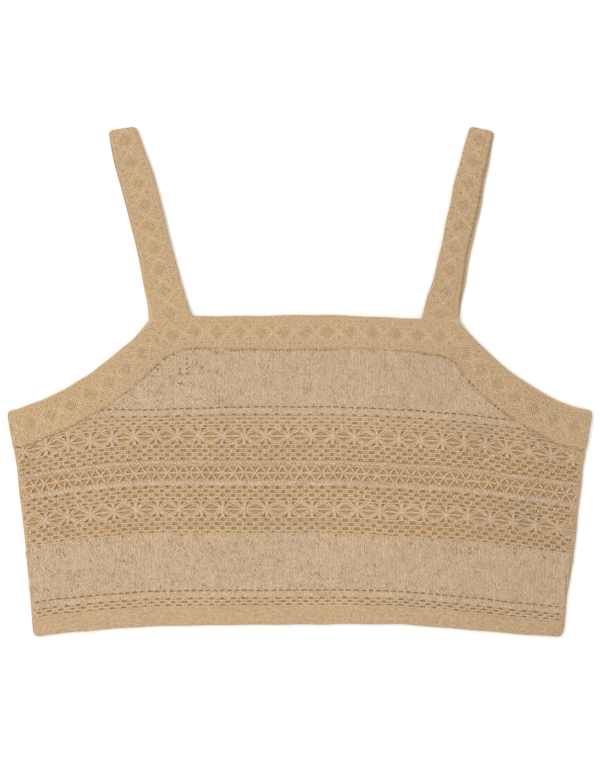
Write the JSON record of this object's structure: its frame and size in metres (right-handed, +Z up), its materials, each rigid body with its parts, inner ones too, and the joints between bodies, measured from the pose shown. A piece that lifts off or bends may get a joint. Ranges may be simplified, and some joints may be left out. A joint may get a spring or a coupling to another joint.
{
  "type": "crochet crop top",
  "caption": "Cropped crochet camisole top with star and lattice lace rows, a lining behind the lace, knitted trims and folded shoulder straps, laid flat.",
  "frame": {"origin": "under the middle of the garment, on the surface that it lies on", "axes": "+X across the chest towards the wearer's left, +Y from the hem to the straps, +Z up out of the front"},
  "size_m": [0.4108, 0.3577, 0.0052],
  "materials": {
    "crochet_yarn": "matte crochet cotton, beige",
    "trim_knit": "matte fine knit with lozenges, golden beige",
    "lining_knit": "matte fine jersey, golden tan"
  },
  "bodies": {
    "root": {"front_crochet_panel": "crochet_yarn", "front_lining": "lining_knit", "back_panel": "crochet_yarn", "front_neck_trim": "trim_knit", "back_neck_trim": "trim_knit", "front_armhole_trim_left": "trim_knit", "front_armhole_trim_right": "trim_knit", "back_armhole_trim_left": "trim_knit", "back_armhole_trim_right": "trim_knit", "front_hem_band": "trim_knit", "back_hem_band": "trim_knit", "strap_left": "trim_knit", "strap_right": "trim_knit"}
  },
  "joints": []
}
